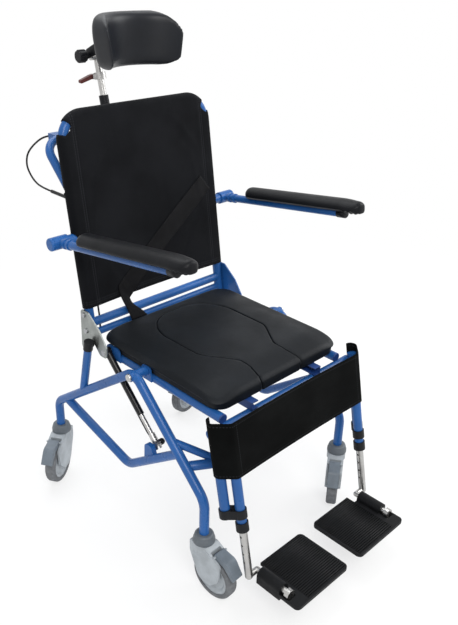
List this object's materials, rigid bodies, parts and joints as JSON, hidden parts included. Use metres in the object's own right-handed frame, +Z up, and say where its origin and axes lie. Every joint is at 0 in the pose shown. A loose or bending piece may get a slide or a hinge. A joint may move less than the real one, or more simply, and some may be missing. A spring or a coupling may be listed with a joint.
{
  "type": "tilting shower commode chair",
  "caption": "Wheeled shower commode chair with a tilting seat and back, flip-up armrests, headrest, calf strap, flip-up footplates and braked casters.",
  "frame": {"origin": "on the floor, on the chair's centre plane, under the seat near the tilt pivot", "axes": "+Z up, -Y the way the sitter faces, -X to the sitter's right"},
  "size_m": [0.6902, 1.0459, 1.314],
  "materials": {
    "blue_paint": "gloss blue powder coat on round tube",
    "dark_blue_plastic": "moulded dark blue plastic",
    "black_plastic": "moulded black plastic, fine grain",
    "red_brown_plastic": "dark red-brown moulded plastic",
    "cast_metal": "satin cast plate",
    "chrome": "bright plated steel",
    "steel": "plain zinc-plated steel",
    "gas_tube_black": "gloss black cylinder",
    "cable_black": "black plastic cable sheath",
    "foam_skin": "black moulded foam with a fine-grained skin",
    "cloth_black": "black coated woven cloth",
    "webbing_black": "black woven webbing",
    "footplate_black": "black ribbed moulded plastic",
    "caster_grey": "mid-grey moulded nylon",
    "tyre_grey": "light grey non-marking tyre"
  },
  "bodies": {
    "base": {"base_side_frame_right": "blue_paint", "base_side_frame_left": "blue_paint", "base_front_cross": "blue_paint", "guide_post_caps": "black_plastic", "caster_stems": "steel", "caster_collars": "caster_grey"},
    "tilt_seat": {"seat_frame": "blue_paint", "seat_tube_caps": "dark_blue_plastic", "pan_rails": "dark_blue_plastic", "tilt_pivot_pins": "chrome", "plate_bolts": "steel", "back_frame": "blue_paint", "side_plate_right": "cast_metal", "side_plate_left": "cast_metal", "push_bar": "blue_paint", "back_sling": "cloth_black", "calf_strap": "cloth_black", "safety_belt": "webbing_black", "legrest_hanger_right": "blue_paint", "legrest_hanger_left": "blue_paint", "hanger_clamps": "black_plastic", "seat_pad": "foam_skin", "headrest_sleeve": "black_plastic", "cable_loop": "cable_black", "cable_ferrule": "cable_black", "cable_run": "cable_black"},
    "fork_front_right": {"caster_fork_front_right": "caster_grey"},
    "wheel_front_right": {"caster_hub_front_right": "caster_grey", "caster_tyre_front_right": "tyre_grey"},
    "brake_front_right": {"caster_brake_front_right": "caster_grey"},
    "fork_rear_right": {"caster_fork_rear_right": "caster_grey"},
    "wheel_rear_right": {"caster_hub_rear_right": "caster_grey", "caster_tyre_rear_right": "tyre_grey"},
    "brake_rear_right": {"caster_brake_rear_right": "caster_grey"},
    "fork_front_left": {"caster_fork_front_left": "caster_grey"},
    "wheel_front_left": {"caster_hub_front_left": "caster_grey", "caster_tyre_front_left": "tyre_grey"},
    "brake_front_left": {"caster_brake_front_left": "caster_grey"},
    "fork_rear_left": {"caster_fork_rear_left": "caster_grey"},
    "wheel_rear_left": {"caster_hub_rear_left": "caster_grey", "caster_tyre_rear_left": "tyre_grey"},
    "brake_rear_left": {"caster_brake_rear_left": "caster_grey"},
    "gas_rod": {"gas_rod": "chrome", "cable_lower": "cable_black"},
    "gas_cylinder": {"gas_cylinder": "gas_tube_black"},
    "release_lever": {"release_lever": "black_plastic"},
    "armrest_right": {"armrest_frame_right": "blue_paint", "armrest_pad_right": "foam_skin"},
    "footrest_stem_right": {"footrest_stem_right": "chrome"},
    "footplate_right": {"footplate_right": "footplate_black"},
    "armrest_left": {"armrest_frame_left": "blue_paint", "armrest_pad_left": "foam_skin"},
    "footrest_stem_left": {"footrest_stem_left": "chrome"},
    "footplate_left": {"footplate_left": "footplate_black"},
    "head_post": {"headrest_post": "chrome"},
    "head_latch": {"headrest_latch": "red_brown_plastic"},
    "head_pad": {"headrest_arm": "black_plastic", "headrest_pad": "foam_skin"},
    "head_knob": {"headrest_knob": "black_plastic"},
    "seat_plug": {"seat_plug": "foam_skin"}
  },
  "joints": [
    {"name": "swivel_front_right", "type": "hinge", "parent": "base", "child": "fork_front_right", "pos_m": [-0.266, -0.291, 0.15], "axis": [0, 0, 1], "continuous": true},
    {"name": "roll_front_right", "type": "hinge", "parent": "fork_front_right", "child": "wheel_front_right", "pos_m": [-0.26391, -0.33094, 0.0625], "axis": [0.9986, 0.0523, 0], "continuous": true},
    {"name": "pedal_front_right", "type": "hinge", "parent": "fork_front_right", "child": "brake_front_right", "pos_m": [-0.26317, -0.34493, 0.14], "axis": [0.9986, 0.0523, 0], "range_deg": [0, 11]},
    {"name": "swivel_rear_right", "type": "hinge", "parent": "base", "child": "fork_rear_right", "pos_m": [-0.266, 0.339, 0.15], "axis": [0, 0, 1], "continuous": true},
    {"name": "roll_rear_right", "type": "hinge", "parent": "fork_rear_right", "child": "wheel_rear_right", "pos_m": [-0.29992, 0.3178, 0.0625], "axis": [0.5299, -0.848, 0], "continuous": true},
    {"name": "pedal_rear_right", "type": "hinge", "parent": "fork_rear_right", "child": "brake_rear_right", "pos_m": [-0.31179, 0.31038, 0.14], "axis": [0.5299, -0.848, 0], "range_deg": [0, 11]},
    {"name": "swivel_front_left", "type": "hinge", "parent": "base", "child": "fork_front_left", "pos_m": [0.266, -0.291, 0.15], "axis": [0, 0, 1], "continuous": true},
    {"name": "roll_front_left", "type": "hinge", "parent": "fork_front_left", "child": "wheel_front_left", "pos_m": [0.23284, -0.31337, 0.0625], "axis": [0.5592, -0.829, 0], "continuous": true},
    {"name": "pedal_front_left", "type": "hinge", "parent": "fork_front_left", "child": "brake_front_left", "pos_m": [0.22123, -0.3212, 0.14], "axis": [0.5592, -0.829, 0], "range_deg": [0, 11]},
    {"name": "swivel_rear_left", "type": "hinge", "parent": "base", "child": "fork_rear_left", "pos_m": [0.266, 0.339, 0.15], "axis": [0, 0, 1], "continuous": true},
    {"name": "roll_rear_left", "type": "hinge", "parent": "fork_rear_left", "child": "wheel_rear_left", "pos_m": [0.22661, 0.33205, 0.0625], "axis": [0.1736, -0.9848, 0], "continuous": true},
    {"name": "pedal_rear_left", "type": "hinge", "parent": "fork_rear_left", "child": "brake_rear_left", "pos_m": [0.21282, 0.32962, 0.14], "axis": [0.1736, -0.9848, 0], "range_deg": [0, 11]},
    {"name": "tilt", "type": "hinge", "parent": "base", "child": "tilt_seat", "pos_m": [0, -0.029, 0.506], "axis": [-1, 0, 0], "range_deg": [0, 20]},
    {"name": "gas_rod_turn", "type": "hinge", "parent": "base", "child": "gas_rod", "pos_m": [-0.238, -0.079, 0.311], "axis": [-1, 0, 0], "range_deg": [0, 7.3]},
    {"name": "gas_stroke", "type": "slide", "parent": "gas_rod", "child": "gas_cylinder", "axis": [0, -0.7161, -0.698], "range_m": [0, 0.0415]},
    {"name": "release_squeeze", "type": "hinge", "parent": "tilt_seat", "child": "release_lever", "pos_m": [-0.18, 0.379, 1.012], "axis": [0, 0, -1], "range_deg": [0, 13], "stiffness_Nm_per_rad": 0.8},
    {"name": "armrest_lift_right", "type": "hinge", "parent": "tilt_seat", "child": "armrest_right", "pos_m": [-0.288, 0.22782, 0.79], "axis": [-1, 0, 0], "range_deg": [0, 95]},
    {"name": "footrest_length_right", "type": "slide", "parent": "tilt_seat", "child": "footrest_stem_right", "axis": [0, -0.2055, -0.9787], "range_m": [-0.04, 0.06]},
    {"name": "footplate_lift_right", "type": "hinge", "parent": "footrest_stem_right", "child": "footplate_right", "pos_m": [-0.203, -0.465, 0.099], "axis": [0, -1, 0], "range_deg": [0, 88]},
    {"name": "armrest_lift_left", "type": "hinge", "parent": "tilt_seat", "child": "armrest_left", "pos_m": [0.288, 0.22782, 0.79], "axis": [-1, 0, 0], "range_deg": [0, 95]},
    {"name": "footrest_length_left", "type": "slide", "parent": "tilt_seat", "child": "footrest_stem_left", "axis": [0, -0.2055, -0.9787], "range_m": [-0.04, 0.06]},
    {"name": "footplate_lift_left", "type": "hinge", "parent": "footrest_stem_left", "child": "footplate_left", "pos_m": [0.203, -0.465, 0.099], "axis": [0, 1, 0], "range_deg": [0, 88]},
    {"name": "headrest_height", "type": "slide", "parent": "tilt_seat", "child": "head_post", "axis": [0, 0.225, 0.9744], "range_m": [-0.03, 0.06]},
    {"name": "headrest_tilt", "type": "hinge", "parent": "head_post", "child": "head_pad", "pos_m": [0, 0.43699, 1.19487], "axis": [-1, 0, 0], "range_deg": [-12, 28]},
    {"name": "headrest_knob_turn", "type": "hinge", "parent": "head_post", "child": "head_knob", "pos_m": [-0.045, 0.43699, 1.19487], "axis": [-1, 0, 0], "continuous": true},
    {"name": "headrest_latch_open", "type": "hinge", "parent": "head_post", "child": "head_latch", "pos_m": [-0.023, 0.42484, 1.14226], "axis": [0, 1, 0], "range_deg": [0, 68]},
    {"name": "seat_plug_lift", "type": "slide", "parent": "tilt_seat", "child": "seat_plug", "axis": [0, 0, 1], "range_m": [0, 0.12]}
  ],
  "couplings": [
    {"joint": "gas_rod_turn", "follows": "tilt", "ratio": 0.35434},
    {"joint": "gas_stroke", "follows": "tilt", "m_per_rad": 0.11532}
  ]
}
